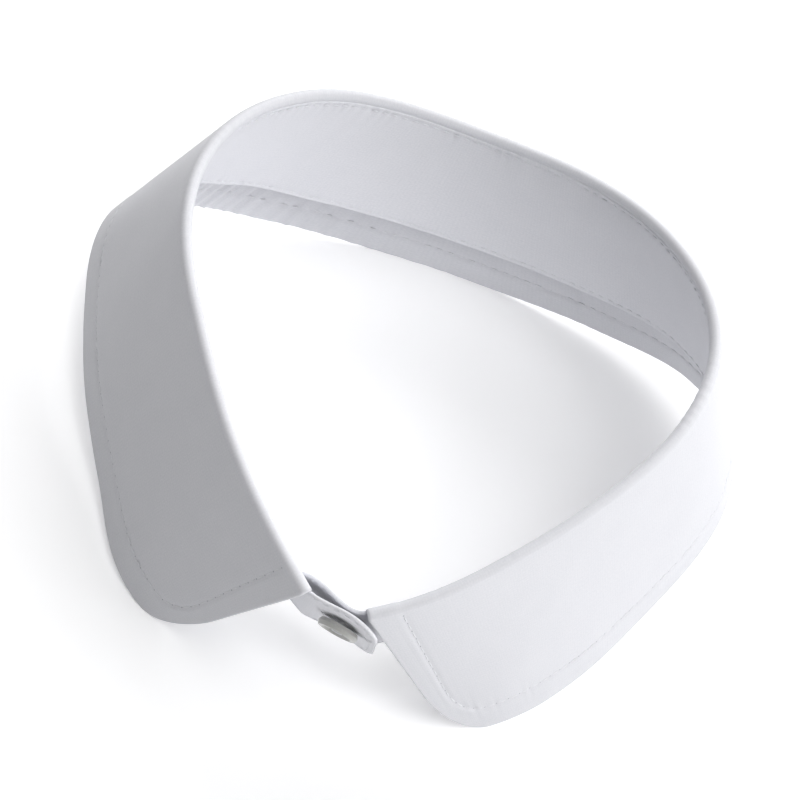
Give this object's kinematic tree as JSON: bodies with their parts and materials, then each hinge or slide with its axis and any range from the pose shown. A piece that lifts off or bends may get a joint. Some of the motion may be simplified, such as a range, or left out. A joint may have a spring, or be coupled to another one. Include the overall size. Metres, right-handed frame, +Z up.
{
  "type": "detachable shirt collar",
  "caption": "Detachable two-piece shirt collar: a folded-down leaf with rounded points on a neck band that overlaps and buttons at the front.",
  "frame": {"origin": "middle of the bounding box seen from above, on the surface that the collar stands on", "axes": "+X to the wearer's left, +Y to the back of the neck, +Z up; the buttoned front faces -Y"},
  "size_m": [0.1566, 0.1322, 0.0541],
  "materials": {
    "leaf_cloth": "white plain-weave cotton blend, pressed, matte",
    "band_cloth": "white plain-weave cotton blend, pressed, matte",
    "button_shell": "pearly shell-like plastic"
  },
  "bodies": {
    "root": {"leaf": "leaf_cloth", "band": "band_cloth", "button": "button_shell"}
  },
  "joints": []
}
